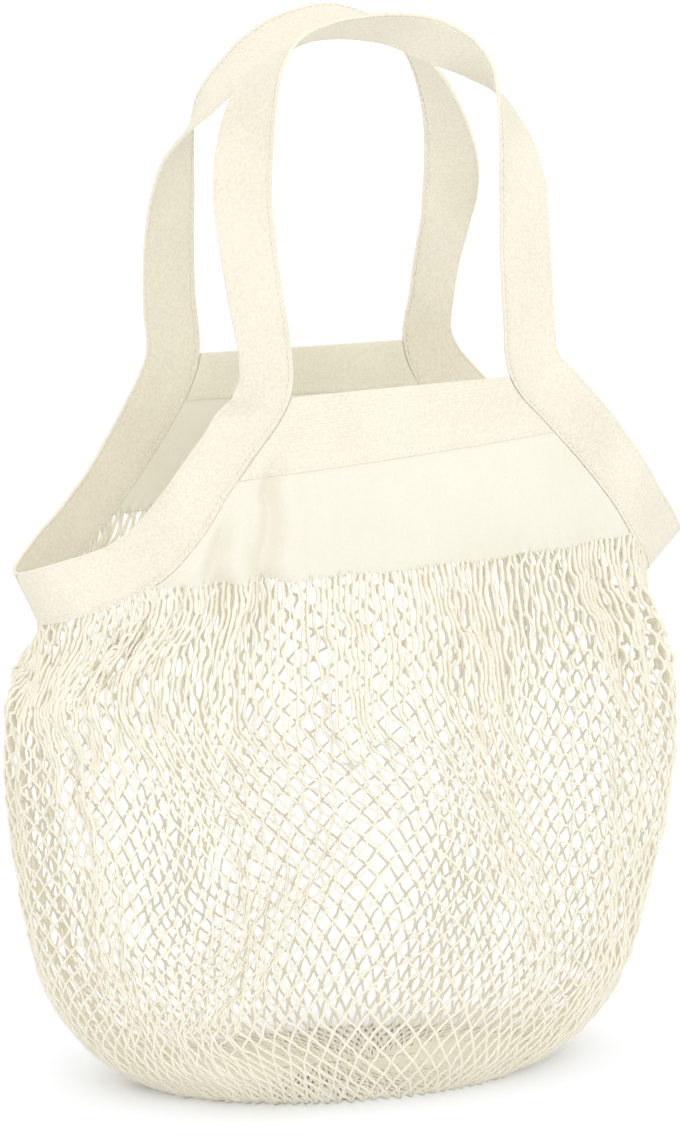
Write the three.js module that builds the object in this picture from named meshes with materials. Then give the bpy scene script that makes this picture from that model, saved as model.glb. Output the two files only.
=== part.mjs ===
// String shopping bag: a coarse diamond net sack under two cloth panels, with a woven tape round each panel's
// slanted edges that goes on as the handle. Millimetres, +Z up, origin at the centre of the resting base,
// front towards -Y.
import * as THREE from 'three';

// The net sack
const netHeight = 238;
const netHalfWidth = 157;
const netHalfDepth = 97;
const netThickness = 2.4;
const ribWidth = 5.6;
const netLean = 4;
const rimBlend = 46;
const gapsAround = 16;

// The cloth above it
const clothHeight = 82;
const clothThickness = 1.2;
const panelDepth = 60;
const panelBulge = 21;
const bulgePower = 1.3;
const tipReach = 153;

// The tape, the handles and the folded top bands
const tapeWidth = 25.4;
const tapeThickness = 1.6;
const handleRise = 155;
const bandHeight = 25;
const bandThickness = 1.1;

// Clearances between sewn pieces
const seamGap = 0.4;
const rimGap = 0.6;
const bandEndGap = 0.9;

// Rows and columns of the faceted cloth
const tapeSteps = 4;
const bandRows = 3;
const clothRows = 9;
const panelColumns = 14;
const arcSteps = 4;
const rimSteps = 4;

// The sharpest half corner, in radians, that a rib's width is mitred for, and the length of two added
// directions under which a corner counts as straight
const sharpestCorner = 0.3;
const straightCorner = 0.5;

const { lerp, smoothstep } = THREE.MathUtils;

// Centre line of a quarter of a tape, from the side tip to the crown of its handle. x is a share of tipReach
// and y of panelDepth. z is a share of clothHeight above the net in the armhole, and of handleRise above the
// cloth in the handle. across points from the sewn edge of the tape to its free edge.
const quarters = {
  frontLeft: {
    armhole: [
      { x: -0.985, y: 0.0, z: -0.165, across: [-0.44, 0.0, 0.9] },
      { x: -0.97, y: -0.15, z: -0.14, across: [-0.4, 0.14, 0.89] },
      { x: -0.905, y: -0.46, z: -0.06, across: [-0.3, 0.38, 0.86] },
      { x: -0.815, y: -0.67, z: 0.025, across: [-0.35, 0.38, 0.84] },
      { x: -0.77, y: -0.76, z: 0.09, across: [-0.42, 0.3, 0.84] },
      { x: -0.725, y: -0.85, z: 0.175, across: [-0.52, 0.22, 0.81] },
      { x: -0.65, y: -0.955, z: 0.37, across: [-0.64, 0.05, 0.75] },
      { x: -0.6, y: -0.995, z: 0.52, across: [-0.74, -0.08, 0.67] },
      { x: -0.515, y: -1.005, z: 0.73, across: [-0.8, -0.1, 0.58] },
      { x: -0.416, y: -1.0, z: 0.99, across: [-0.95, -0.08, 0.3] },
    ],
    handle: [
      { x: -0.41, y: -0.985, z: 0.1, across: [-0.98, -0.15, 0.05] },
      { x: -0.434, y: -0.96, z: 0.25, across: [-0.99, -0.04, 0.05] },
      { x: -0.45, y: -0.91, z: 0.4, across: [-1.0, 0.06, 0.02] },
      { x: -0.456, y: -0.85, z: 0.53, across: [-0.97, 0.22, 0.02] },
      { x: -0.438, y: -0.77, z: 0.655, across: [-0.8, 0.6, 0.0] },
      { x: -0.405, y: -0.7, z: 0.77, across: [-0.55, 0.83, -0.03] },
      { x: -0.355, y: -0.65, z: 0.86, across: [-0.3, 0.9, -0.25] },
      { x: -0.28, y: -0.62, z: 0.93, across: [-0.06, 0.93, -0.36] },
      { x: -0.19, y: -0.61, z: 0.968, across: [0.0, 0.93, -0.35] },
      { x: -0.08, y: -0.61, z: 0.98, across: [0.0, 0.9, -0.42] },
    ],
    seamFoot: 4,
    seamTop: 9,
  },
  frontRight: {
    armhole: [
      { x: 1.0, y: 0.0, z: -0.13, across: [0.71, 0.0, 0.7] },
      { x: 0.988, y: -0.13, z: -0.115, across: [0.69, 0.02, 0.72] },
      { x: 0.93, y: -0.36, z: 0.0, across: [0.64, 0.1, 0.76] },
      { x: 0.838, y: -0.62, z: 0.17, across: [0.64, 0.2, 0.74] },
      { x: 0.752, y: -0.79, z: 0.36, across: [0.67, 0.2, 0.71] },
      { x: 0.625, y: -0.93, z: 0.62, across: [0.7, 0.12, 0.7] },
      { x: 0.512, y: -0.99, z: 0.84, across: [0.79, 0.04, 0.6] },
      { x: 0.412, y: -1.0, z: 1.05, across: [0.94, 0.06, 0.34] },
    ],
    handle: [
      { x: 0.397, y: -0.985, z: 0.16, across: [0.985, 0.12, 0.1] },
      { x: 0.392, y: -0.94, z: 0.34, across: [0.985, 0.13, 0.03] },
      { x: 0.394, y: -0.875, z: 0.53, across: [0.96, 0.26, 0.0] },
      { x: 0.386, y: -0.79, z: 0.655, across: [0.82, 0.57, 0.0] },
      { x: 0.357, y: -0.7, z: 0.765, across: [0.45, 0.88, 0.04] },
      { x: 0.306, y: -0.65, z: 0.84, across: [0.16, 0.88, -0.4] },
      { x: 0.232, y: -0.63, z: 0.9, across: [0.02, 0.74, -0.66] },
      { x: 0.14, y: -0.625, z: 0.945, across: [0.0, 0.7, -0.7] },
      { x: 0.045, y: -0.615, z: 0.972, across: [0.0, 0.82, -0.55] },
    ],
    seamFoot: 3,
    seamTop: 7,
  },
  backLeft: {
    armhole: [
      { x: -0.985, y: 0.0, z: -0.165, across: [-0.44, 0.0, 0.9] },
      { x: -0.975, y: 0.13, z: -0.15, across: [-0.46, -0.06, 0.88] },
      { x: -0.885, y: 0.36, z: -0.02, across: [-0.54, -0.2, 0.82] },
      { x: -0.775, y: 0.57, z: 0.12, across: [-0.6, -0.3, 0.74] },
      { x: -0.672, y: 0.73, z: 0.28, across: [-0.68, -0.3, 0.67] },
      { x: -0.574, y: 0.87, z: 0.47, across: [-0.74, -0.2, 0.64] },
      { x: -0.488, y: 0.95, z: 0.68, across: [-0.8, -0.1, 0.59] },
      { x: -0.428, y: 0.99, z: 0.86, across: [-0.89, -0.04, 0.44] },
      { x: -0.4, y: 1.0, z: 1.01, across: [-0.98, 0.0, 0.2] },
    ],
    handle: [
      { x: -0.413, y: 0.98, z: 0.17, across: [-0.99, -0.08, 0.05] },
      { x: -0.42, y: 0.935, z: 0.31, across: [-0.98, -0.15, 0.0] },
      { x: -0.418, y: 0.88, z: 0.45, across: [-0.94, -0.32, -0.02] },
      { x: -0.41, y: 0.79, z: 0.58, across: [-0.78, -0.58, -0.12] },
      { x: -0.388, y: 0.71, z: 0.665, across: [-0.5, -0.82, -0.25] },
      { x: -0.352, y: 0.655, z: 0.73, across: [-0.28, -0.86, -0.42] },
      { x: -0.285, y: 0.63, z: 0.805, across: [-0.24, -0.8, -0.55] },
      { x: -0.2, y: 0.62, z: 0.88, across: [-0.2, -0.78, -0.58] },
      { x: -0.105, y: 0.615, z: 0.935, across: [-0.1, -0.84, -0.5] },
      { x: 0.0, y: 0.61, z: 0.97, across: [0.0, -0.9, -0.4] },
    ],
    seamFoot: 4,
    seamTop: 8,
  },
  backRight: {
    armhole: [
      { x: 1.0, y: 0.0, z: -0.13, across: [0.71, 0.0, 0.7] },
      { x: 0.988, y: 0.13, z: -0.115, across: [0.69, -0.06, 0.72] },
      { x: 0.925, y: 0.34, z: 0.0, across: [0.63, -0.16, 0.77] },
      { x: 0.835, y: 0.52, z: 0.13, across: [0.57, -0.26, 0.77] },
      { x: 0.745, y: 0.69, z: 0.28, across: [0.6, -0.3, 0.73] },
      { x: 0.63, y: 0.85, z: 0.47, across: [0.68, -0.22, 0.69] },
      { x: 0.525, y: 0.95, z: 0.69, across: [0.76, -0.12, 0.62] },
      { x: 0.445, y: 0.99, z: 0.87, across: [0.87, 0.0, 0.46] },
      { x: 0.411, y: 1.0, z: 1.03, across: [0.96, 0.1, 0.2] },
    ],
    handle: [
      { x: 0.422, y: 0.98, z: 0.14, across: [0.96, 0.26, -0.05] },
      { x: 0.437, y: 0.95, z: 0.26, across: [0.97, 0.2, -0.05] },
      { x: 0.456, y: 0.9, z: 0.375, across: [0.98, 0.05, 0.0] },
      { x: 0.46, y: 0.83, z: 0.49, across: [0.88, -0.46, 0.0] },
      { x: 0.44, y: 0.76, z: 0.61, across: [0.58, -0.8, 0.0] },
      { x: 0.4, y: 0.7, z: 0.72, across: [0.34, -0.93, -0.05] },
      { x: 0.345, y: 0.655, z: 0.82, across: [0.18, -0.96, -0.14] },
      { x: 0.27, y: 0.63, z: 0.9, across: [0.06, -0.95, -0.25] },
      { x: 0.18, y: 0.62, z: 0.95, across: [0.0, -0.94, -0.3] },
      { x: 0.09, y: 0.61, z: 0.975, across: [0.0, -0.93, -0.35] },
    ],
    seamFoot: 4,
    seamTop: 8,
  },
};

// Level sections of the sack, floor upwards: z as a share of netHeight, width and depth as shares of
// netHalfWidth and netHalfDepth.
const sections = [
  { z: 0.0, width: 0.58, depth: 0.63 },
  { z: 0.02, width: 0.65, depth: 0.7 },
  { z: 0.07, width: 0.76, depth: 0.81 },
  { z: 0.13, width: 0.83, depth: 0.88 },
  { z: 0.2, width: 0.885, depth: 0.935 },
  { z: 0.31, width: 0.93, depth: 0.975 },
  { z: 0.46, width: 0.965, depth: 1.0 },
  { z: 0.6, width: 0.985, depth: 0.99 },
  { z: 0.74, width: 0.975, depth: 0.94 },
  { z: 0.86, width: 0.955, depth: 0.85 },
  { z: 1.0, width: 0.92, depth: 0.74 },
];

// Main folds of the net: turn is the side they lie on in degrees, 0 right and 270 front. low and high are
// shares of the height, wide is in degrees, and deep is a share of netHalfDepth, inwards.
const folds = [
  { turn: 243, wide: 17, low: 0.16, high: 0.95, deep: 0.1 },
  { turn: 222, wide: 12, low: 0.1, high: 0.62, deep: -0.035 },
  { turn: 268, wide: 12, low: 0.25, high: 1.0, deep: -0.05 },
  { turn: 292, wide: 12, low: 0.3, high: 1.0, deep: 0.075 },
  { turn: 318, wide: 12, low: 0.2, high: 0.95, deep: 0.055 },
  { turn: 344, wide: 15, low: 0.3, high: 1.0, deep: -0.05 },
  { turn: 195, wide: 13, low: 0.35, high: 0.95, deep: 0.06 },
  { turn: 60, wide: 15, low: 0.25, high: 0.95, deep: 0.075 },
  { turn: 125, wide: 15, low: 0.2, high: 0.95, deep: 0.08 },
  { turn: 92, wide: 13, low: 0.2, high: 0.95, deep: -0.035 },
];

// Rings of net crossings, cloth downwards: z as a share of the rim's height on the wall, and on the base
// spread as a share of the base's edge. The last ring is the edge of the solid middle patch.
const rings = [
  { z: 1.0, spread: 1.0 },
  { z: 0.8, spread: 1.0 },
  { z: 0.61, spread: 1.0 },
  { z: 0.43, spread: 1.0 },
  { z: 0.26, spread: 1.0 },
  { z: 0.1, spread: 1.0 },
  { z: 0.0, spread: 0.86 },
  { z: 0.0, spread: 0.4 },
];

// Border of a diamond of the net round its middle, in columns and levels: its crossings and mid-ribs
const diamond = [
  [0, -1],
  [-0.25, -0.5],
  [-0.5, 0],
  [-0.25, 0.5],
  [0, 1],
  [0.25, 0.5],
  [0.5, 0],
  [0.25, -0.5],
];

const cotton = {
  net: { color: 0xf0ecd9, roughness: 0.95, metalness: 0 },
  tape: { color: 0xf1edd8, roughness: 0.9, metalness: 0 },
  panel: { color: 0xf7f3df, roughness: 0.85, metalness: 0 },
  band: { color: 0xf3efdc, roughness: 0.9, metalness: 0 },
};

const bag = new THREE.Group();

function addPiece(name, geometry, finish) {
  const mesh = new THREE.Mesh(geometry, new THREE.MeshStandardMaterial(finish));
  mesh.name = name;
  bag.add(mesh);
}

// Closed geometry from points and triangles, turned so that its faces look out
function closedGeometry(points, triangles) {
  let volume = 0;
  for (const [a, b, c] of triangles) {
    volume += points[a].dot(new THREE.Vector3().crossVectors(points[b], points[c]));
  }
  const index = triangles.flatMap(([a, b, c]) => (volume > 0 ? [a, b, c] : [a, c, b]));
  const geometry = new THREE.BufferGeometry();
  geometry.setAttribute('position', new THREE.Float32BufferAttribute(points.flatMap((p) => p.toArray()), 3));
  geometry.setIndex(index);
  geometry.computeVertexNormals();
  return geometry;
}

// A sheet with a wall: cells[row][column] hold a point of its middle surface and the normal there
function sheetGeometry(cells, thickness) {
  const rows = cells.length;
  const columns = cells[0].length;
  const points = [];
  for (const side of [0.5, -0.5]) {
    for (const { point, normal } of cells.flat()) {
      points.push(point.clone().addScaledVector(normal, side * thickness));
    }
  }
  const front = (row, column) => row * columns + column;
  const back = (row, column) => front(row, column) + rows * columns;
  const triangles = [];
  const quad = (a, b, c, d) => triangles.push([a, b, c], [a, c, d]);
  for (let row = 0; row < rows - 1; row++) {
    for (let column = 0; column < columns - 1; column++) {
      quad(front(row, column), front(row, column + 1), front(row + 1, column + 1), front(row + 1, column));
      quad(back(row, column), back(row + 1, column), back(row + 1, column + 1), back(row, column + 1));
    }
    quad(front(row, 0), front(row + 1, 0), back(row + 1, 0), back(row, 0));
    const end = columns - 1;
    quad(front(row + 1, end), front(row, end), back(row, end), back(row + 1, end));
  }
  for (let column = 0; column < columns - 1; column++) {
    const end = rows - 1;
    quad(front(0, column + 1), front(0, column), back(0, column), back(0, column + 1));
    quad(front(end, column), front(end, column + 1), back(end, column + 1), back(end, column));
  }
  return closedGeometry(points, triangles);
}

// Centre point and across direction of every row of a quarter, in millimetres
function quarterRows(quarter) {
  const clothTop = netHeight + clothHeight;
  const place = (row, foot, height) => ({
    centre: new THREE.Vector3(row.x * tipReach, row.y * panelDepth, foot + row.z * height),
    across: new THREE.Vector3(...row.across),
  });
  return [
    ...quarter.armhole.map((row) => place(row, netHeight, clothHeight)),
    ...quarter.handle.map((row) => place(row, clothTop, handleRise)),
  ];
}

// Shares of the seam at which the cloth has a row, from its top edge down: close together under the band
function clothShares() {
  const bandShare = bandHeight / clothHeight;
  const shares = [];
  for (let row = 0; row < bandRows; row++) {
    shares.push((bandShare * row) / bandRows);
  }
  for (let row = 0; row <= clothRows; row++) {
    shares.push(lerp(bandShare, 1, row / clothRows));
  }
  return shares;
}

// Row numbers, with fractions, of a quarter's stations. Along the seam they are the cloth's own rows.
function stationRows({ armhole, handle, seamFoot, seamTop }) {
  const rows = [];
  for (let step = 0; step < seamFoot * tapeSteps; step++) {
    rows.push(step / tapeSteps);
  }
  for (const share of clothShares().reverse()) {
    rows.push(lerp(seamTop, seamFoot, share));
  }
  const crown = armhole.length + handle.length - 1;
  for (let step = seamTop * tapeSteps + 1; step <= crown * tapeSteps; step++) {
    rows.push(step / tapeSteps);
  }
  return rows;
}

// One tape from the left tip over the handle to the right tip, as stations of centre, across and normal
function tapeStations(left, right, side) {
  const rows = [...quarterRows(left), ...quarterRows(right).reverse()];
  const spans = rows.length - 1;
  for (const end of [rows[0], rows[spans]]) {
    end.centre.y = side * seamGap * 0.5;
  }
  const curve = new THREE.CatmullRomCurve3(rows.map((row) => row.centre), false, 'centripetal');
  const leftRows = stationRows(left);
  const rightRows = stationRows(right).map((row) => spans - row).reverse();
  const crownRows = [];
  const crownStart = leftRows[leftRows.length - 1];
  for (let step = 1; step < tapeSteps; step++) {
    crownRows.push(crownStart + step / tapeSteps);
  }
  const stations = [...leftRows, ...crownRows, ...rightRows].map((row) => {
    const before = Math.min(Math.floor(row), spans - 1);
    const centre = curve.getPoint(row / spans);
    const atEnd = row === 0 || row === spans;
    const outwards = new THREE.Vector3(0, row === 0 ? side : -side, 0);
    const forward = atEnd ? outwards : curve.getTangent(row / spans);
    const across = rows[before].across.clone().lerp(rows[before + 1].across, row - before);
    across.addScaledVector(forward, -across.dot(forward)).normalize();
    const normal = new THREE.Vector3().crossVectors(across, forward).multiplyScalar(side).normalize();
    return { centre, across, normal };
  });
  const seamRows = clothShares().length;
  const leftFoot = left.seamFoot * tapeSteps;
  const rightFoot = stations.length - 1 - right.seamFoot * tapeSteps;
  return {
    stations,
    leftFoot,
    rightFoot,
    leftSeam: stations.slice(leftFoot, leftFoot + seamRows).reverse(),
    rightSeam: stations.slice(rightFoot - seamRows + 1, rightFoot + 1),
  };
}

function seamPoint(station, gap) {
  return station.centre.clone().addScaledVector(station.across, -tapeWidth / 2 - gap);
}

function tapeGeometry(tape) {
  const cells = tape.stations.map(({ centre, across, normal }) =>
    [-0.5, 0, 0.5].map((share) => ({
      point: centre.clone().addScaledVector(across, share * tapeWidth),
      normal,
    })),
  );
  return sheetGeometry(cells, tapeThickness);
}

// Middle surface of a panel between the two seams of its tape, a row for each station of the seams
function panelCells(tape, side) {
  const shares = clothShares();
  const cells = shares.map((share, index) => {
    const [left, right] = [tape.leftSeam[index], tape.rightSeam[index]];
    const row = [];
    for (let column = 0; column <= panelColumns; column++) {
      const u = column / panelColumns;
      const point = seamPoint(left, seamGap).lerp(seamPoint(right, seamGap), u);
      const arch = 4 * u * (1 - u);
      point.y += side * panelBulge * Math.pow(share, bulgePower) * arch;
      row.push({ point });
    }
    row[0].normal = left.normal;
    row[panelColumns].normal = right.normal;
    return row;
  });
  const last = cells.length - 1;
  for (let row = 0; row <= last; row++) {
    for (let column = 1; column < panelColumns; column++) {
      const down = cells[Math.min(row + 1, last)][column].point.clone();
      down.sub(cells[Math.max(row - 1, 0)][column].point);
      const along = cells[row][column + 1].point.clone().sub(cells[row][column - 1].point);
      const normal = new THREE.Vector3().crossVectors(along, down).multiplyScalar(side).normalize();
      cells[row][column].normal = normal;
    }
  }
  return cells;
}

// Strip folded over the top edge of a panel: outer leg, round the edge, inner leg
function bandCells(cells) {
  const reach = clothThickness / 2 + seamGap + bandThickness / 2;
  const top = cells[0];
  const upward = top.map((cell, column) => {
    const up = cell.point.clone().sub(cells[1][column].point).normalize();
    return up.addScaledVector(cell.normal, -up.dot(cell.normal)).normalize();
  });
  const ends = [top[0], top[panelColumns]].map((cell) => cell.point);
  const shrink = (point) => {
    const width = ends[1].x - ends[0].x;
    const share = 1 - (2 * (bandEndGap - seamGap)) / width;
    const middle = (ends[0].x + ends[1].x) / 2;
    return point.clone().setX(middle + (point.x - middle) * share);
  };
  const leg = (row, direction) =>
    cells[row].map(({ point, normal }) => ({
      point: shrink(point.clone().addScaledVector(normal, direction * reach)),
      normal: normal.clone().multiplyScalar(direction),
    }));
  const path = [];
  for (let row = bandRows; row >= 0; row--) {
    path.push(leg(row, 1));
  }
  for (let step = 1; step < arcSteps; step++) {
    const angle = (Math.PI * step) / arcSteps;
    path.push(
      top.map(({ point, normal }, column) => {
        const out = normal.clone().multiplyScalar(Math.cos(angle));
        out.addScaledVector(upward[column], Math.sin(angle));
        return { point: shrink(point.clone().addScaledVector(out, reach)), normal: out };
      }),
    );
  }
  for (let row = 0; row <= bandRows; row++) {
    path.push(leg(row, -1));
  }
  return path;
}

// Lower edge of the cloth on one side, left tip to right tip: tape, panel, tape
function clothEdge(tape, cells) {
  const edge = [];
  const addTape = (station) => {
    const down = station.across.clone().negate();
    edge.push({ point: seamPoint(station, 0), normal: station.normal, down });
  };
  tape.stations.slice(0, tape.leftFoot).forEach(addTape);
  const foot = cells[cells.length - 1];
  const above = cells[cells.length - 2];
  foot.forEach(({ point, normal }, column) => {
    const down = point.clone().sub(above[column].point);
    down.addScaledVector(normal, -down.dot(normal)).normalize();
    edge.push({ point: point.clone(), normal, down });
  });
  tape.stations.slice(tape.rightFoot + 1).forEach(addTape);
  return edge;
}

function alongEdge(edge, share) {
  const lengths = [0];
  for (let step = 1; step < edge.length; step++) {
    lengths.push(lengths[step - 1] + edge[step].point.distanceTo(edge[step - 1].point));
  }
  const target = share * lengths[lengths.length - 1];
  let before = 0;
  while (before < edge.length - 2 && lengths[before + 1] < target) {
    before++;
  }
  const part = (target - lengths[before]) / (lengths[before + 1] - lengths[before]);
  const blended = {};
  for (const key of ['point', 'normal', 'down']) {
    blended[key] = edge[before][key].clone().lerp(edge[before + 1][key], part);
  }
  blended.normal.normalize();
  blended.down.normalize();
  return blended;
}

function sectionAt(share) {
  let row = 0;
  while (row < sections.length - 2 && sections[row + 1].z < share) {
    row++;
  }
  const part = (share - sections[row].z) / (sections[row + 1].z - sections[row].z);
  return {
    width: netHalfWidth * lerp(sections[row].width, sections[row + 1].width, part),
    depth: netHalfDepth * lerp(sections[row].depth, sections[row + 1].depth, part),
  };
}

// How far the folds pull the net in at a turn and a share of the height
function foldDepth(turn, share) {
  let depth = 0;
  for (const fold of folds) {
    let away = Math.abs(turn - fold.turn) % 360;
    away = Math.min(away, 360 - away);
    if (away >= 2 * fold.wide || share <= fold.low || share >= fold.high) continue;
    const sideways = Math.pow(Math.cos((away / fold.wide) * (Math.PI / 4)), 2);
    const middle = Math.sin((Math.PI * (share - fold.low)) / (fold.high - fold.low));
    depth += fold.deep * sideways * middle;
  }
  return depth * netHalfDepth;
}

// A point of the sack's outer face: around runs from 0 at the left tip by the front to 0.5 at the right tip
// and by the back to 1, and level counts the rings.
function sackPoint(rim, around, level) {
  const wrapped = ((around % 1) + 1) % 1;
  const before = Math.min(Math.floor(level), rings.length - 2);
  const height = lerp(rings[before].z, rings[before + 1].z, level - before);
  const spread = lerp(rings[before].spread, rings[before + 1].spread, level - before);
  const top = wrapped < 0.5 ? alongEdge(rim.front, wrapped * 2) : alongEdge(rim.back, 2 - wrapped * 2);
  const z = height * top.point.z;
  const { width, depth } = sectionAt(z / netHeight);
  const angle = Math.PI * (1 + 2 * wrapped);
  const turn = ((angle * 180) / Math.PI) % 360;
  const inward = foldDepth(turn, z / netHeight);
  const x = (width - inward) * Math.cos(angle) - netLean;
  const y = (depth - inward) * Math.sin(angle);
  const away = smoothstep(top.point.z - z, 0, rimBlend);
  return new THREE.Vector3(
    lerp(top.point.x, x * spread, away),
    lerp(top.point.y, y * spread, away),
    z,
  );
}

// The same point with the outward direction of the net there
function sackNode(rim, around, level) {
  const point = sackPoint(rim, around, level);
  if (level === 0) {
    const wrapped = ((around % 1) + 1) % 1;
    const top = wrapped < 0.5 ? alongEdge(rim.front, wrapped * 2) : alongEdge(rim.back, 2 - wrapped * 2);
    const normal = top.normal.clone();
    const outward = new THREE.Vector3(point.x / netHalfWidth, point.y / netHalfDepth, 0);
    if (normal.dot(outward) < 0) normal.negate();
    point.addScaledVector(top.down, rimGap).addScaledVector(normal, netThickness / 2);
    return { point, normal };
  }
  const flat = rings[Math.floor(level)].z === 0;
  if (flat) return { point, normal: new THREE.Vector3(0, 0, -1) };
  const stepAround = 0.002;
  const stepLevel = 0.02;
  const sideways = sackPoint(rim, around + stepAround, level).sub(sackPoint(rim, around - stepAround, level));
  const down = sackPoint(rim, around, level + stepLevel).sub(sackPoint(rim, around, level - stepLevel));
  const normal = new THREE.Vector3().crossVectors(down, sideways).normalize();
  return { point, normal };
}

// The net: cells of a diamond lattice, each a ring of faces round a gap, on both faces of the wall
function netGeometry(rim) {
  const points = [];
  const triangles = [];
  const crossings = new Map();
  const last = rings.length - 1;

  const addPair = ({ point, normal }) => {
    points.push(point, point.clone().addScaledVector(normal, -netThickness));
    return points.length - 2;
  };
  const node = (column, level) => {
    const wrapped = ((column % gapsAround) + gapsAround) % gapsAround;
    const key = `${wrapped.toFixed(2)} ${level.toFixed(2)}`;
    if (!crossings.has(key)) crossings.set(key, addPair(sackNode(rim, wrapped / gapsAround, level)));
    return crossings.get(key);
  };
  const bothFaces = (a, b, c) => {
    triangles.push([a, b, c], [a + 1, c + 1, b + 1]);
  };
  // border is a list of [column, level] round a cell
  const addCell = (border) => {
    const outer = border.map(([column, level]) => node(column, level));
    const middle = new THREE.Vector3();
    for (const id of outer) {
      middle.addScaledVector(points[id], 1 / outer.length);
    }
    const inner = outer.map((id, position) => {
      const previous = points[outer[(position + outer.length - 1) % outer.length]];
      const next = points[outer[(position + 1) % outer.length]];
      const here = points[id];
      const toPrevious = previous.clone().sub(here).normalize();
      const toNext = next.clone().sub(here).normalize();
      const inwards = middle.clone().sub(here).normalize();
      const corner = Math.acos(THREE.MathUtils.clamp(toPrevious.dot(toNext), -1, 1)) / 2;
      const bisector = toPrevious.add(toNext);
      const straight = bisector.length() < straightCorner;
      const direction = straight ? inwards : bisector.normalize();
      const length = ribWidth / 2 / Math.sin(Math.max(corner, sharpestCorner));
      const wall = points[id + 1].clone().sub(here);
      const place = here.clone().addScaledVector(direction, length);
      points.push(place, place.clone().add(wall));
      return points.length - 2;
    });
    outer.forEach((a, position) => {
      const following = (position + 1) % outer.length;
      const [b, c, d] = [outer[following], inner[following], inner[position]];
      bothFaces(a, b, c);
      bothFaces(a, c, d);
      triangles.push([d, c, c + 1], [d, c + 1, d + 1]);
    });
  };

  for (let column = 0; column < gapsAround; column++) {
    const top = [[column, 0], [column + 0.25, 0.5], [column + 0.5, 1], [column + 0.75, 0.5]];
    for (let step = rimSteps; step > 0; step--) {
      top.push([column + step / rimSteps, 0]);
    }
    addCell(top);
    for (let level = 1; level < last; level++) {
      const middle = column + ((level - 1) % 2) / 2;
      addCell(diamond.map(([sideways, down]) => [middle + sideways, level + down]));
    }
  }

  // Solid middle of the base, out to the last rings
  const hubPoint = new THREE.Vector3(-netLean * rings[last].spread, 0, 0);
  const hub = addPair({ point: hubPoint, normal: new THREE.Vector3(0, 0, -1) });
  for (let column = 0; column < gapsAround; column++) {
    const foot = column + (last % 2) / 2;
    const [a, b] = [node(foot, last), node(foot + 1, last)];
    bothFaces(a, hub, b);
    const peak = node(foot + 0.5, last - 1);
    const [left, right] = [node(foot + 0.25, last - 0.5), node(foot + 0.75, last - 0.5)];
    bothFaces(left, a, b);
    bothFaces(left, b, right);
    bothFaces(left, right, peak);
    for (let step = 0; step < rimSteps; step++) {
      const [c, d] = [node(column + step / rimSteps, 0), node(column + (step + 1) / rimSteps, 0)];
      triangles.push([c, d, d + 1], [c, d + 1, c + 1]);
    }
  }
  return closedGeometry(points, triangles);
}

const frontTape = tapeStations(quarters.frontLeft, quarters.frontRight, -1);
const backTape = tapeStations(quarters.backLeft, quarters.backRight, 1);
const frontCells = panelCells(frontTape, -1);
const backCells = panelCells(backTape, 1);
const rim = { front: clothEdge(frontTape, frontCells), back: clothEdge(backTape, backCells) };

addPiece('net_body', netGeometry(rim), cotton.net);
addPiece('front_panel', sheetGeometry(frontCells, clothThickness), cotton.panel);
addPiece('back_panel', sheetGeometry(backCells, clothThickness), cotton.panel);
addPiece('front_top_band', sheetGeometry(bandCells(frontCells), bandThickness), cotton.band);
addPiece('back_top_band', sheetGeometry(bandCells(backCells), bandThickness), cotton.band);
addPiece('front_handle_tape', tapeGeometry(frontTape), cotton.tape);
addPiece('back_handle_tape', tapeGeometry(backTape), cotton.tape);

export default bag;
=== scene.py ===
# String shopping bag: the looks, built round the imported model. Lengths in the shape tables are millimetres,
# Blender's are metres, and every piece is made in place with its object at the origin.
import math

import bmesh
import bpy
import numpy as np
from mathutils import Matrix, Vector


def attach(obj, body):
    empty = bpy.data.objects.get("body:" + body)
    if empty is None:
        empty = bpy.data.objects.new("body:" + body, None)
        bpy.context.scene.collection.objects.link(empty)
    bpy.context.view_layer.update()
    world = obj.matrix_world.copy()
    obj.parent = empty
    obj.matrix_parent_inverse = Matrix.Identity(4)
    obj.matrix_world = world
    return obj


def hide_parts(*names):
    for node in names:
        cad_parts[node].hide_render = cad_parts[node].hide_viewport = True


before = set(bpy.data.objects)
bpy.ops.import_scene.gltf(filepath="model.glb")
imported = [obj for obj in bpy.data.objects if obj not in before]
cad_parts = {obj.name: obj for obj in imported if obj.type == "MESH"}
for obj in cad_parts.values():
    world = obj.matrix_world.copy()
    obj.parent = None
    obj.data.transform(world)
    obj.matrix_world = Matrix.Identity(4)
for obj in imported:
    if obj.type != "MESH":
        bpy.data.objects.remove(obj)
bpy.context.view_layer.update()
print("frame loaded:", sorted(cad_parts))

mm = 0.001
scene = bpy.context.scene
chance = np.random.default_rng(11)

# Camera at the photo's angle

cameraView = {
    "azimuth": -22.0,  # degrees, turned to the left of the front
    "elevation": 10.0,
    "distance": 2.3,
    "target": (-0.0037, 0.0015, 0.2278),
    "lens": 162.9,
    "sensor": 36.0,
}


def addObject(name, data):
    item = bpy.data.objects.new(name, data)
    scene.collection.objects.link(item)
    return item


def makeCamera(view):
    turn, rise = math.radians(view["azimuth"]), math.radians(view["elevation"])
    back = Vector((math.sin(turn) * math.cos(rise), -math.cos(turn) * math.cos(rise), math.sin(rise)))
    lensData = bpy.data.cameras.new("photo_camera")
    lensData.lens = view["lens"]
    lensData.sensor_width = view["sensor"]
    camera = addObject("photo_camera", lensData)
    camera.location = Vector(view["target"]) + back * view["distance"]
    camera.rotation_mode = "QUATERNION"
    camera.rotation_quaternion = (-back).to_track_quat("-Z", "Y")
    scene.camera = camera


makeCamera(cameraView)

# The bag's driving sizes, as the solids have them

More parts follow.
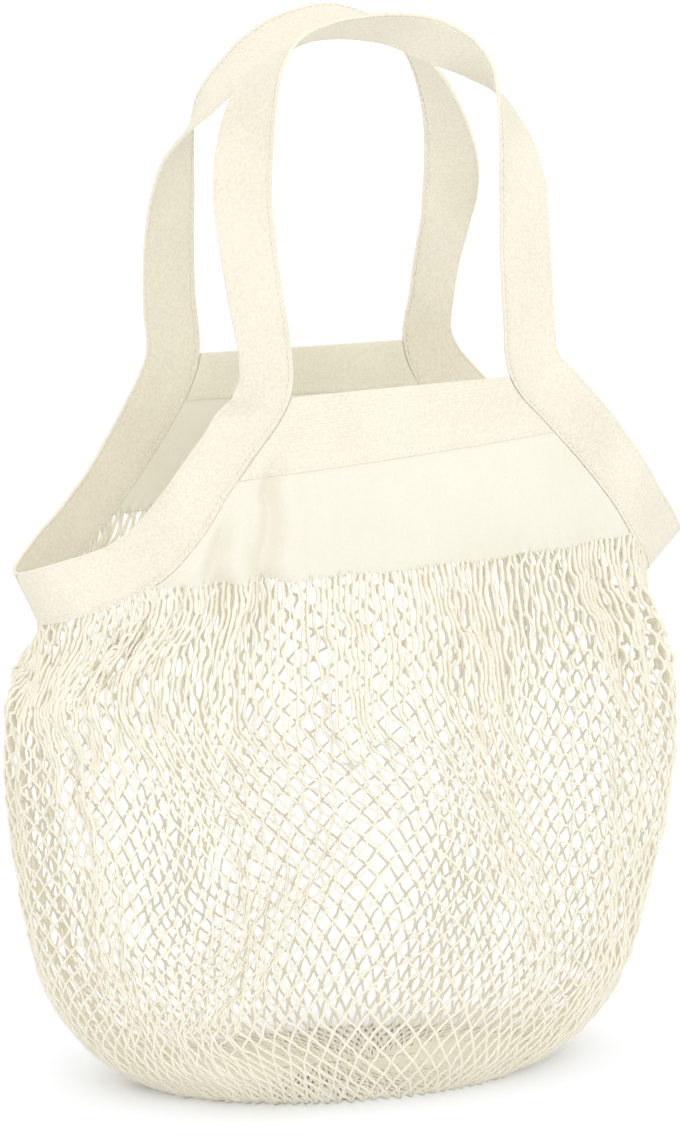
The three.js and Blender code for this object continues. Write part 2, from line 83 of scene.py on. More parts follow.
bag = {
    "netHeight": 238.0, "netHalfWidth": 157.0, "netHalfDepth": 97.0, "netLean": 4.0,
    "rimBlend": 46.0, "clothHeight": 82.0, "panelDepth": 60.0, "panelBulge": 21.0, "bulgePower": 1.3,
    "tipReach": 153.0, "tapeWidth": 25.4, "handleRise": 155.0, "bandHeight": 25.0, "seamGap": 0.4,
}

# Centre line of each quarter of a tape, side tip to crown: x as a share of tipReach, y of panelDepth, z of
# clothHeight above the net (armhole) or handleRise above the cloth (handle), then the direction across the
# tape from its sewn edge to its free edge. foot and top are the rows where the panel's seam ends.
quarters = {
    "frontLeft": {"foot": 4, "top": 9, "armhole": [
        (-0.985, 0, -0.165, -0.44, 0, 0.9), (-0.97, -0.15, -0.14, -0.4, 0.14, 0.89),
        (-0.905, -0.46, -0.06, -0.3, 0.38, 0.86), (-0.815, -0.67, 0.025, -0.35, 0.38, 0.84),
        (-0.77, -0.76, 0.09, -0.42, 0.3, 0.84), (-0.725, -0.85, 0.175, -0.52, 0.22, 0.81),
        (-0.65, -0.955, 0.37, -0.64, 0.05, 0.75), (-0.6, -0.995, 0.52, -0.74, -0.08, 0.67),
        (-0.515, -1.005, 0.73, -0.8, -0.1, 0.58), (-0.416, -1, 0.99, -0.95, -0.08, 0.3),
    ], "handle": [
        (-0.41, -0.985, 0.1, -0.98, -0.15, 0.05), (-0.434, -0.96, 0.25, -0.99, -0.04, 0.05),
        (-0.45, -0.91, 0.4, -1, 0.06, 0.02), (-0.456, -0.85, 0.53, -0.97, 0.22, 0.02),
        (-0.438, -0.77, 0.655, -0.8, 0.6, 0), (-0.405, -0.7, 0.77, -0.55, 0.83, -0.03),
        (-0.355, -0.65, 0.86, -0.3, 0.9, -0.25), (-0.28, -0.62, 0.93, -0.06, 0.93, -0.36),
        (-0.19, -0.61, 0.968, 0, 0.93, -0.35), (-0.08, -0.61, 0.98, 0, 0.9, -0.42),
    ]},
    "frontRight": {"foot": 3, "top": 7, "armhole": [
        (1, 0, -0.13, 0.71, 0, 0.7), (0.988, -0.13, -0.115, 0.69, 0.02, 0.72),
        (0.93, -0.36, 0, 0.64, 0.1, 0.76), (0.838, -0.62, 0.17, 0.64, 0.2, 0.74),
        (0.752, -0.79, 0.36, 0.67, 0.2, 0.71), (0.625, -0.93, 0.62, 0.7, 0.12, 0.7),
        (0.512, -0.99, 0.84, 0.79, 0.04, 0.6), (0.412, -1, 1.05, 0.94, 0.06, 0.34),
    ], "handle": [
        (0.397, -0.985, 0.16, 0.985, 0.12, 0.1), (0.392, -0.94, 0.34, 0.985, 0.13, 0.03),
        (0.394, -0.875, 0.53, 0.96, 0.26, 0), (0.386, -0.79, 0.655, 0.82, 0.57, 0),
        (0.357, -0.7, 0.765, 0.45, 0.88, 0.04), (0.306, -0.65, 0.84, 0.16, 0.88, -0.4),
        (0.232, -0.63, 0.9, 0.02, 0.74, -0.66), (0.14, -0.625, 0.945, 0, 0.7, -0.7),
        (0.045, -0.615, 0.972, 0, 0.82, -0.55),
    ]},
    "backLeft": {"foot": 4, "top": 8, "armhole": [
        (-0.985, 0, -0.165, -0.44, 0, 0.9), (-0.975, 0.13, -0.15, -0.46, -0.06, 0.88),
        (-0.885, 0.36, -0.02, -0.54, -0.2, 0.82), (-0.775, 0.57, 0.12, -0.6, -0.3, 0.74),
        (-0.672, 0.73, 0.28, -0.68, -0.3, 0.67), (-0.574, 0.87, 0.47, -0.74, -0.2, 0.64),
        (-0.488, 0.95, 0.68, -0.8, -0.1, 0.59), (-0.428, 0.99, 0.86, -0.89, -0.04, 0.44),
        (-0.4, 1, 1.01, -0.98, 0, 0.2),
    ], "handle": [
        (-0.413, 0.98, 0.17, -0.99, -0.08, 0.05), (-0.42, 0.935, 0.31, -0.98, -0.15, 0),
        (-0.418, 0.88, 0.45, -0.94, -0.32, -0.02), (-0.41, 0.79, 0.58, -0.78, -0.58, -0.12),
        (-0.388, 0.71, 0.665, -0.5, -0.82, -0.25), (-0.352, 0.655, 0.73, -0.28, -0.86, -0.42),
        (-0.285, 0.63, 0.805, -0.24, -0.8, -0.55), (-0.2, 0.62, 0.88, -0.2, -0.78, -0.58),
        (-0.105, 0.615, 0.935, -0.1, -0.84, -0.5), (0, 0.61, 0.97, 0, -0.9, -0.4),
    ]},
    "backRight": {"foot": 4, "top": 8, "armhole": [
        (1, 0, -0.13, 0.71, 0, 0.7), (0.988, 0.13, -0.115, 0.69, -0.06, 0.72),
        (0.925, 0.34, 0, 0.63, -0.16, 0.77), (0.835, 0.52, 0.13, 0.57, -0.26, 0.77),
        (0.745, 0.69, 0.28, 0.6, -0.3, 0.73), (0.63, 0.85, 0.47, 0.68, -0.22, 0.69),
        (0.525, 0.95, 0.69, 0.76, -0.12, 0.62), (0.445, 0.99, 0.87, 0.87, 0, 0.46),
        (0.411, 1, 1.03, 0.96, 0.1, 0.2),
    ], "handle": [
        (0.422, 0.98, 0.14, 0.96, 0.26, -0.05), (0.437, 0.95, 0.26, 0.97, 0.2, -0.05),
        (0.456, 0.9, 0.375, 0.98, 0.05, 0), (0.46, 0.83, 0.49, 0.88, -0.46, 0),
        (0.44, 0.76, 0.61, 0.58, -0.8, 0), (0.4, 0.7, 0.72, 0.34, -0.93, -0.05),
        (0.345, 0.655, 0.82, 0.18, -0.96, -0.14), (0.27, 0.63, 0.9, 0.06, -0.95, -0.25),
        (0.18, 0.62, 0.95, 0, -0.94, -0.3), (0.09, 0.61, 0.975, 0, -0.93, -0.35),
    ]},
}


def unit(vectors):
    return vectors / np.maximum(np.linalg.norm(vectors, axis=-1, keepdims=True), 1e-9)


def smooth(value, low, high):
    share = np.clip((np.asarray(value, float) - low) / (high - low), 0, 1)
    return share * share * (3 - 2 * share)


def hump(value, middle, wide):
    return np.exp(-(((np.asarray(value, float) - middle) / wide) ** 2))


# The part of some directions that stands square to others
def squareTo(vectors, others):
    return unit(vectors - others * np.sum(vectors * others, axis=-1, keepdims=True))


# Length along a line of points, from its start
def distances(line):
    return np.concatenate([[0], np.cumsum(np.linalg.norm(np.diff(line, axis=0), axis=1))])


# The values of a line, given at its lengths, at other lengths
def valuesAt(at, lengths, values):
    return np.stack([np.interp(at, lengths, values[:, axis]) for axis in range(3)], axis=1)


# Normals turned to the side that a panel faces; the nudge settles those that lie level
def turnOut(normals, side):
    nudge = 1e-9
    return normals * np.sign(normals[:, 1:2] * side + nudge)


def quarterRows(name):
    quarter = quarters[name]
    clothTop = bag["netHeight"] + bag["clothHeight"]
    rows = []
    for foot, height, table in (
        (bag["netHeight"], bag["clothHeight"], quarter["armhole"]),
        (clothTop, bag["handleRise"], quarter["handle"]),
    ):
        for x, y, z, *across in table:
            rows.append([x * bag["tipReach"], y * bag["panelDepth"], foot + z * height, *across])
    return np.array(rows)


# Centripetal curve through the points, at row numbers with fractions
def alongCurve(points, at):
    padded = np.array([2 * points[0] - points[1], *points, 2 * points[-1] - points[-2]])
    at = np.clip(at, 0, len(points) - 1)
    span = np.minimum(at.astype(int), len(points) - 2)
    share = (at - span)[:, None]
    p0, p1, p2, p3 = (padded[span + step] for step in range(4))
    g0, g1, g2 = (np.sqrt(np.linalg.norm(b - a, axis=1))[:, None] for a, b in ((p0, p1), (p1, p2), (p2, p3)))
    start = ((p1 - p0) / g0 - (p2 - p0) / (g0 + g1) + (p2 - p1) / g1) * g1
    finish = ((p2 - p1) / g1 - (p3 - p1) / (g1 + g2) + (p3 - p2) / g2) * g1
    square, cube = share**2, share**3
    return p1 + start * share + (3 * (p2 - p1) - 2 * start - finish) * square + (
        2 * (p1 - p2) + start + finish
    ) * cube


# One tape's centre line, left tip to right tip, by row number
class Tape:
    def __init__(self, left, right, side):
        rows = np.vstack([quarterRows(left), quarterRows(right)[::-1]])
        rows[[0, -1], 1] = side * bag["seamGap"] / 2
        self.side = side
        self.points, self.acrosses = rows[:, :3], rows[:, 3:]
        self.spans = len(rows) - 1
        self.left, self.right = quarters[left], quarters[right]

    def at(self, where):
        where = np.atleast_1d(np.asarray(where, float))
        centre = alongCurve(self.points, where)
        step = 0.01
        forward = unit(alongCurve(self.points, where + step) - alongCurve(self.points, where - step))
        forward[where <= 0] = (0, self.side, 0)
        forward[where >= self.spans] = (0, -self.side, 0)
        before = np.minimum(where.astype(int), self.spans - 1)
        share = (where - before)[:, None]
        across = self.acrosses[before] * (1 - share) + self.acrosses[before + 1] * share
        across = squareTo(across, forward)
        normal = unit(np.cross(across, forward) * self.side)
        return centre, across, normal

    # The sewn edge beside the panel, share 0 at the cloth's top and 1 at its foot
    def seam(self, share, leftSide, gap):
        part = self.left if leftSide else self.right
        row = part["top"] + (part["foot"] - part["top"]) * np.asarray(share, float)
        centre, across, _ = self.at(row if leftSide else self.spans - row)
        return centre - across * (bag["tapeWidth"] / 2 + gap)


tapes = {"front": Tape("frontLeft", "frontRight", -1), "back": Tape("backLeft", "backRight", 1)}


# Middle surface of a panel, without its folds
def panelPoint(tape, u, share):
    left = tape.seam(share, True, panelLook["gap"])
    right = tape.seam(share, False, panelLook["gap"])
    point = left + (right - left) * u[:, None]
    point[:, 1] += tape.side * bag["panelBulge"] * np.power(share, bag["bulgePower"]) * 4 * u * (1 - u)
    return point


# Making pieces


def finishPiece(piece, material, nodes):
    piece.data.materials.clear()
    piece.data.materials.append(material)
    for polygon in piece.data.polygons:
        polygon.use_smooth = True
    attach(piece, "root")
    if nodes:
        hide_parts(*nodes)


# Texture coordinates of a flat sheet, in millimetres across and along
def flatGrid(across, along):
    return np.stack(np.broadcast_arrays(across, along), axis=-1)


# A cloth sheet: a grid laid on spots[row][column], its UVs the flat cloth in millimetres. wallShares are the
# shares of the thickness that the columns have.
def sheetPiece(name, spots, flatSpots, look, wallShares=None):
    rows, columns = spots.shape[:2]
    cloth = bmesh.new()
    weights = cloth.verts.layers.deform.verify()
    bmesh.ops.create_grid(cloth, x_segments=columns - 1, y_segments=rows - 1, size=1)
    order = sorted(cloth.verts, key=lambda vert: (round(vert.co.y, 6), round(vert.co.x, 6)))
    places = spots.reshape(-1, 3) * mm
    flat = flatSpots.reshape(-1, 2)
    number = {}
    for index, vert in enumerate(order):
        vert.co = places[index]
        vert[weights][0] = wallShares[index % columns] if wallShares is not None else 1.0
        number[vert] = index
    uvLayer = cloth.loops.layers.uv.new("flat")
    for face in cloth.faces:
        for loop in face.loops:
            loop[uvLayer].uv = flat[number[loop.vert]]
    mesh = bpy.data.meshes.new(name)
    cloth.to_mesh(mesh)
    cloth.free()
    piece = addObject(name, mesh)
    piece.vertex_groups.new(name="wall")
    wall = piece.modifiers.new("wall", "SOLIDIFY")
    wall.vertex_group = "wall"
    wall.thickness = look["thickness"] * mm
    wall.offset = 0
    wall.use_even_offset = True
    edges = piece.modifiers.new("soft_edges", "BEVEL")
    edges.width = look["rounding"] * mm
    edges.segments = 2
    edges.limit_method = "ANGLE"
    edges.angle_limit = math.radians(50)
    return piece


# Round cords along lines of (points, widths), as one mesh
def cordPiece(name, lines, radius, sideSteps):
    curve = bpy.data.curves.new(name, "CURVE")
    curve.dimensions = "3D"
    curve.bevel_depth = radius * mm
    curve.bevel_resolution = sideSteps
    curve.use_fill_caps = True
    for points, widths in lines:
        spline = curve.splines.new("POLY")
        spline.points.add(len(points) - 1)
        spline.points.foreach_set("co", np.hstack([points * mm, np.ones((len(points), 1))]).ravel())
        spline.points.foreach_set("radius", np.asarray(widths, float))
        spline.use_smooth = True
    holder = addObject(name + "_curve", curve)
    mesh = bpy.data.meshes.new_from_object(holder)
    bpy.data.objects.remove(holder)
    mesh.name = name
    return addObject(name, mesh)


# Shader groups


# A shader group; an input without a value is a vector, one of four numbers a colour, and the rest are plain
def makeGroup(name, inputs, outputs):
    group = bpy.data.node_groups.new(name, "ShaderNodeTree")
    for label, value in inputs.items():
        kind = "Vector" if value is None else "Color" if isinstance(value, tuple) else "Float"
        socket = group.interface.new_socket(label, in_out="INPUT", socket_type="NodeSocket" + kind)
        if value is not None:
            socket.default_value = value
    for label, kind in outputs.items():
        group.interface.new_socket(label, in_out="OUTPUT", socket_type="NodeSocket" + kind)
    return group, group.nodes.new("NodeGroupInput"), group.nodes.new("NodeGroupOutput")


# A group for the yarns over a piece's UVs, which puts out the relief and its gaps, where the cotton group
# paints shade
def makePattern(name, values):
    return makeGroup(name, {"Vector": None, **values}, {"Height": "Float", "Gaps": "Float"})


def calc(tree, operation, *values):
    node = tree.nodes.new("ShaderNodeMath")
    node.operation = operation
    for socket, value in zip(node.inputs, values):
        if isinstance(value, (int, float)):
            socket.default_value = value
        else:
            tree.links.new(value, socket)
    return node.outputs[0]


def setInputs(node, values):
    for label, value in values.items():
        node.inputs[label].default_value = value


def addNoise(group, start, scale, detail):
    noise = group.nodes.new("ShaderNodeTexNoise")
    setInputs(noise, {"Scale": scale, "Detail": detail})
    group.links.new(start.outputs["Vector"], noise.inputs["Vector"])
    return noise.outputs["Fac"]


def splitVector(group, start):
    split = group.nodes.new("ShaderNodeSeparateXYZ")
    group.links.new(start.outputs["Vector"], split.inputs[0])
    return split.outputs["X"], split.outputs["Y"]


def putOut(group, end, **values):
    for label, value in values.items():
        group.links.new(value, end.inputs[label])
    return group


# Plain weave over flat-cloth UVs in millimetres
def weaveGroup():
    overShare = 0.5
    group, start, end = makePattern("cloth_weave", {"Pitch": 0.8, "Waver": 0.3})
    across, along = splitVector(group, start)
    waver = calc(group, "MULTIPLY", addNoise(group, start, 0.35, 2), start.outputs["Waver"])
    warp = calc(group, "ADD", across, waver)
    weft = calc(group, "ADD", along, waver)
    turn = calc(group, "DIVIDE", math.pi, start.outputs["Pitch"])
    sineWarp = calc(group, "SINE", calc(group, "MULTIPLY", warp, turn))
    sineWeft = calc(group, "SINE", calc(group, "MULTIPLY", weft, turn))
    over = calc(group, "MULTIPLY", sineWarp, sineWeft)
    ridges = calc(group, "MAXIMUM", calc(group, "ABSOLUTE", sineWarp), calc(group, "ABSOLUTE", sineWeft))
    height = calc(group, "MULTIPLY_ADD", over, overShare, ridges)
    # Gaps: where the yarns' ridges lie low, for the painted shade between the yarns
    return putOut(group, end, Height=height, Gaps=calc(group, "SUBTRACT", 1.0, ridges))


# Herringbone twill over flat-tape UVs in millimetres: diagonal ribs that turn at each stripe
def twillGroup():
    slant, waver = 1.6, 0.6
    crossPitch, crossShare = 1.15, 0.35
    # The gaps, where shade is painted, are highest where the ribs lie lowest
    gapSlope, gapMiddle = -0.37, 0.5
    group, start, end = makePattern("tape_twill", {"Pitch": 1.1, "Stripe": 5.0})
    across, along = splitVector(group, start)
    zigzag = calc(group, "PINGPONG", across, start.outputs["Stripe"])
    slanted = calc(group, "ADD", calc(group, "MULTIPLY", zigzag, slant), along)
    slanted = calc(group, "ADD", slanted, calc(group, "MULTIPLY", addNoise(group, start, 0.5, 2), waver))
    turn = calc(group, "DIVIDE", 2 * math.pi, start.outputs["Pitch"])
    rib = calc(group, "SINE", calc(group, "MULTIPLY", slanted, turn))
    crossTurn = calc(group, "MULTIPLY", turn, crossPitch)
    cross = calc(group, "SINE", calc(group, "MULTIPLY", across, crossTurn))
    height = calc(group, "MULTIPLY_ADD", cross, crossShare, rib)
    return putOut(group, end, Height=height, Gaps=calc(group, "MULTIPLY_ADD", height, gapSlope, gapMiddle))


# Clouds of the cotton's colour: scale, detail, the stretch of the noise that counts, and share of the shade
cottonClouds = {
    "broad": (22.0, 2, 0.35, 0.75, 0.25),
    "fine": (900.0, 3, 0.35, 0.7, 0.16),
    "flecks": (420.0, 1, 0.76, 0.82, 0.3),
}
mottleCloud = (850.0, 2, 0.38, 0.66)  # its share is the group's Mottle


# Undyed cotton's colour: broad clouding, slubs and a few seed flecks, with painted shade in the gaps between
# the yarns
def cottonGroup():
    inputs = {"Vector": None, "Light": (0.9, 0.87, 0.75, 1), "Dark": (0.75, 0.7, 0.55, 1)}
    inputs |= {"Gaps": 0.0, "Gap Shade": 0.3, "Mottle": 0.15}
    group, start, end = makeGroup("cotton_colour", inputs, {"Color": "Color", "Fibre": "Float"})

    def cloud(scale, detail, low, high):
        spread = group.nodes.new("ShaderNodeMapRange")
        setInputs(spread, {"From Min": low, "From Max": high})
        group.links.new(addNoise(group, start, scale, detail), spread.inputs["Value"])
        return spread.outputs["Result"]

    shade = 0.0
    for name, (*noise, share) in cottonClouds.items():
        spread = cloud(*noise)
        shade = calc(group, "MULTIPLY_ADD", spread, share, shade)
        if name == "fine":
            fibre = spread
    shade = calc(group, "MULTIPLY_ADD", cloud(*mottleCloud), start.outputs["Mottle"], shade)
    # Painted shade: darker where the yarns' gaps are, standing in for the shade that falls there
    shade = calc(group, "MULTIPLY_ADD", start.outputs["Gaps"], start.outputs["Gap Shade"], shade)
    mix = group.nodes.new("ShaderNodeMix")
    mix.data_type = "RGBA"
    mix.clamp_factor = True
    group.links.new(shade, mix.inputs["Factor"])
    group.links.new(start.outputs["Light"], mix.inputs[6])
    group.links.new(start.outputs["Dark"], mix.inputs[7])
    return putOut(group, end, Color=mix.outputs[2], Fibre=fibre)


# The lay of a twisted cord, over the cord's own UVs; its gaps are the grooves between the plies, where shade
# is painted
def twistGroup():
    group, start, end = makePattern("cord_twist", {"Turns": 300.0, "Plies": 2.0})
    along, around = splitVector(group, start)
    turns = calc(group, "MULTIPLY", along, start.outputs["Turns"])
    plies = calc(group, "MULTIPLY", around, start.outputs["Plies"])
    angle = calc(group, "MULTIPLY", calc(group, "ADD", turns, plies), 2 * math.pi)
    height = calc(group, "ABSOLUTE", calc(group, "SINE", calc(group, "MULTIPLY", angle, 0.5)))
    # Gaps: the grooves between the plies, for the painted shade there
    return putOut(group, end, Height=height, Gaps=calc(group, "SUBTRACT", 1.0, height))


groups = {"weave": weaveGroup(), "twill": twillGroup(), "cotton": cottonGroup(), "twist": twistGroup()}


# A colour given on a 0 to 255 scale
def linear(red, green, blue):
    return tuple(((value / 255 + 0.055) / 1.055) ** 2.4 for value in (red, green, blue)) + (1.0,)


def addGroup(tree, key, values):
    node = tree.nodes.new("ShaderNodeGroup")
    node.node_tree = groups[key]
    setInputs(node, values)
    return node


clothFinish = {"Roughness": 0.92, "Specular IOR Level": 0.2, "Sheen Weight": 0.12, "Sheen Roughness": 0.6}


# Cotton cloth or cord: a pattern group for the yarns and the cotton group for the colour
def clothMaterial(look):
    material = bpy.data.materials.new(look["name"])
    material.use_nodes = True
    tree = material.node_tree
    shader = tree.nodes["Principled BSDF"]
    place = tree.nodes.new("ShaderNodeTexCoord")
    yarns = addGroup(tree, look["pattern"], look["yarns"])
    colours = {"Light": linear(*look["light"]), "Dark": linear(*look["dark"])}
    cotton = addGroup(tree, "cotton", {**colours, "Gap Shade": look["gapShade"], "Mottle": look["mottle"]})
    relief = calc(tree, "MULTIPLY_ADD", cotton.outputs["Fibre"], look["fibre"], yarns.outputs["Height"])
    bump = tree.nodes.new("ShaderNodeBump")
    setInputs(bump, {"Strength": look["strength"], "Distance": look["relief"] * mm})
    setInputs(shader, clothFinish)
    for start, end in (
        (place.outputs["UV"], yarns.inputs["Vector"]),
        (place.outputs["Object"], cotton.inputs["Vector"]),
        (yarns.outputs["Gaps"], cotton.inputs["Gaps"]),
        (relief, bump.inputs["Height"]),
        (cotton.outputs["Color"], shader.inputs["Base Color"]),
        (bump.outputs["Normal"], shader.inputs["Normal"]),
    ):
        tree.links.new(start, end)
    return material


# Each look's gapShade is how much shade is painted into the gaps between its yarns
looks = {
    "panel": {
        "name": "calico", "pattern": "weave", "yarns": {"Pitch": 0.45, "Waver": 0.25},
        "light": (230, 227, 212), "dark": (218, 212, 191), "mottle": 0.1, "gapShade": 0.2,
        "fibre": 0.4, "strength": 0.35, "relief": 0.08,
    },
    "band": {
        "name": "coarse_calico", "pattern": "weave", "yarns": {"Pitch": 0.95, "Waver": 0.5},
        "light": (234, 230, 214), "dark": (213, 206, 184), "mottle": 0.3, "gapShade": 0.4,
        "fibre": 0.5, "strength": 0.5, "relief": 0.12,
    },
    "tape": {
        "name": "twill_tape", "pattern": "twill", "yarns": {"Pitch": 1.15, "Stripe": 5.1},
        "light": (243, 238, 222), "dark": (214, 206, 184), "mottle": 0.3, "gapShade": 0.35,
        "fibre": 0.5, "strength": 0.5, "relief": 0.1,
    },
    "cord": {
        "name": "net_cord", "pattern": "twist", "yarns": {"Turns": 150.0, "Plies": 2.0},
        "light": (243, 239, 223), "dark": (222, 215, 194), "mottle": 0.25, "gapShade": 0.3,
        "fibre": 0.6, "strength": 0.5, "relief": 0.15,
    },
    "thread": {
        "name": "sewing_thread", "pattern": "twist", "yarns": {"Turns": 4.0, "Plies": 2.0},
        "light": (247, 244, 231), "dark": (222, 214, 190), "mottle": 0.1, "gapShade": 0.3,
        "fibre": 0.3, "strength": 0.4, "relief": 0.08,
    },
}
materials = {key: clothMaterial(look) for key, look in looks.items()}
print("materials made")

# Tapes: handles and armhole binding in one length

tapeLook = {
    "rowsPerSpan": 9, "thickness": 1.9, "rounding": 0.35,
    "creaseWide": 0.35,  # how far a crease reaches across, as a share of the width
    "creaseFade": (-0.5, -0.3),  # creases fade out here, towards the sewn edge
    "stitchIn": 1.9,
    "stitchSink": 0.36,  # how high the stitched face lies, as a share of the thickness
    "stitchLong": 2.5, "stitchPitch": 3.1, "threadRadius": 0.34,
}

# Across a tape from its sewn edge to its free edge: place as a share of its width, and wall as a share of its
# thickness, drawn in along the stitches and full in the selvedge
tapeProfile = [
    (-0.5, 0.72), (-0.475, 0.8), (-0.45, 0.72), (-0.425, 0.5), (-0.4, 0.7), (-0.36, 0.8), (-0.26, 0.8),
    (-0.13, 0.8), (0, 0.8), (0.13, 0.8), (0.26, 0.8), (0.36, 0.8), (0.42, 0.78), (0.45, 0.76), (0.47, 1),
    (0.5, 0.95),
]

# Soft creases across the tapes: row number from the left tip, share across where they are deepest, how wide
# they are along the tape, lean of the crease, and how deep
creases = {
    "front": [
        (8.95, 0.4, 0.13, -0.9, 2.2), (8.6, 0.35, 0.2, -0.9, -1.6), (4.6, 0, 0.7, 0.6, -0.5),
        (30, -0.1, 0.35, 0.8, -0.7), (31.1, 0.15, 0.35, -1, 0.8), (33.6, 0.2, 0.6, 0.4, -0.4),
        (15.4, 0, 0.6, 0.5, 0.5), (24, 0.1, 0.6, -0.5, 0.5),
    ],
    "back": [
        (8.3, 0.2, 0.3, 0.8, 0.9), (5.5, 0, 0.5, -0.6, 0.6), (3.2, 0.25, 0.4, 0.5, 0.7),
        (12.6, 0.2, 0.6, 0.5, 0.5), (27.5, 0, 0.5, -0.5, 0.6), (30.5, 0.1, 0.5, 0.6, -0.6),
    ],
}


def tapeSpots(key):
    tape = tapes[key]
    rows = np.linspace(0, tape.spans, tape.spans * tapeLook["rowsPerSpan"] + 1)
    centre, across, normal = tape.at(rows)
    shares = np.array(tapeProfile)[:, 0]
    lift = np.zeros((len(rows), len(shares)))
    for row, share, wide, lean, deep in creases[key]:
        bend = (rows[:, None] - row) - lean * shares[None, :]
        lift += deep * hump(bend, 0, wide) * hump(shares, share, tapeLook["creaseWide"])[None, :]
    lift *= smooth(shares, *tapeLook["creaseFade"])[None, :]
    spots = centre[:, None] + across[:, None] * (shares * bag["tapeWidth"])[None, :, None]
    spots = spots + normal[:, None] * lift[:, :, None]
    along = distances(centre)
    return along, spots, flatGrid(shares[None, :] * bag["tapeWidth"], along[:, None])


def tapePiece(key):
    along, spots, flat = tapeSpots(key)
    name = key + "_tape"
    piece = sheetPiece(name, spots, flat, tapeLook, np.array(tapeProfile)[:, 1])
    finishPiece(piece, materials["tape"], [key + "_handle_tape"])
    print(name, "made,", round(along[-1]), "mm long")


for key in tapes:
    tapePiece(key)

# Cloth panels

panelLook = {
    "rows": 44, "columns": 120, "thickness": 0.9, "rounding": 0.25, "gap": 0.3,
    "foldStart": 0.3,  # shares of the height over which a fold sets in and runs out
    "foldEnd": 0.2, "puckers": 34, "puckerDeep": 0.35, "puckerFrom": 0.8, "endFade": 0.05,
}

# Soft upright folds of a panel: place along its foot, lean towards the top, width, depth outwards and the
# stretch of the height that they take, from and to
panelFolds = {
    "front": [
        (0.08, -0.2, 0.018, 2, 0.5, 1.25), (0.125, -0.24, 0.02, -4.2, 0.4, 1.3),
        (0.17, -0.24, 0.02, 2.4, 0.4, 1.25), (0.21, -0.155, 0.024, -5.6, 0.1, 1.3),
        (0.265, -0.15, 0.026, 2.6, 0.2, 1.25), (0.37, -0.12, 0.026, -2, 0.3, 1.2),
        (0.48, -0.03, 0.03, 1.4, 0.4, 1.2), (0.57, 0.03, 0.03, -1.5, 0.3, 1.2),
        (0.66, 0.1, 0.03, 1.4, 0.3, 1.2), (0.74, 0.16, 0.025, -1.3, 0.35, 1.2),
        (0.83, 0.2, 0.028, 1.3, 0.35, 1.2), (0.91, 0.22, 0.024, -1.3, 0.4, 1.2),
    ],
    "back": [
        (0.14, 0.1, 0.04, 1.2, 0.3, 1.2), (0.27, 0.05, 0.04, -1.2, 0.3, 1.2),
        (0.42, 0, 0.04, 1, 0.3, 1.2), (0.58, 0, 0.04, -1.1, 0.3, 1.2),
        (0.74, -0.05, 0.04, 1.2, 0.3, 1.2), (0.88, -0.08, 0.04, -0.8, 0.3, 1.2),
    ],
}


# How far the folds push a panel outwards
def panelLift(key, u, share):
    lift = np.zeros_like(u)
    for place, lean, wide, deep, low, high in panelFolds[key]:
        middle = place + lean * (1 - share)
        reach = smooth(share, low, low + panelLook["foldStart"])
        reach = reach * (1 - smooth(share, high - panelLook["foldEnd"], high))
        lift += deep * hump(u, middle, wide) * reach
    puckers = panelLook["puckerDeep"] * np.sin(u * 2 * math.pi * panelLook["puckers"])
    puckers = puckers * smooth(share, panelLook["puckerFrom"], 1.0)
    ends = smooth(u, 0, panelLook["endFade"]) * (1 - smooth(u, 1 - panelLook["endFade"], 1))
    return (lift + puckers) * ends


# Point and outward normal of a panel with its folds
def panelSurface(key, u, share):
    tape = tapes[key]
    step = 0.01
    point = panelPoint(tape, u, share)
    right = panelPoint(tape, np.minimum(u + step, 1), share)
    right = right - panelPoint(tape, np.maximum(u - step, 0), share)
    low = np.clip(share + step, 0, 1)
    high = np.clip(share - step, 0, 1)
    down = panelPoint(tape, u, low) - panelPoint(tape, u, high)
    outward = turnOut(unit(np.cross(right, down)), tape.side)
    return point + outward * panelLift(key, u, share)[:, None], outward


def panelPiece(key):
    shares = np.linspace(0, 1, panelLook["rows"])
    columns = np.linspace(0, 1, panelLook["columns"])
    share, u = (grid.ravel() for grid in np.meshgrid(shares, columns, indexing="ij"))
    points, _ = panelSurface(key, u, share)
    spots = points.reshape(len(shares), len(columns), 3)
    width = np.linalg.norm(spots[:, -1] - spots[:, 0], axis=1)
    flat = flatGrid((columns[None, :] - 0.5) * width[:, None], -shares[:, None] * bag["clothHeight"])
    name = key + "_cloth"
    piece = sheetPiece(name, spots, flat, panelLook)
    finishPiece(piece, materials["panel"], [key + "_panel"])
    print(name, "made")


for key in tapes:
    panelPiece(key)

# Coarse bands folded over the panels' top edges

bandLook = {
    "legRows": 10, "turnSteps": 6, "turnRise": 0.5, "columns": 72, "thickness": 0.45,
    "rounding": 0.25, "inset": 0.003, "topStep": 0.03, "reach": 0.78, "endReach": 0.76,
    "endFade": 0.06, "loose": 0.18,
    "wavers": ((0.25, 23, 9), (0.15, 61, 21)),  # depth, turns across and turns down
    "stitchUp": 2.0, "stitchThin": 0.6,
}


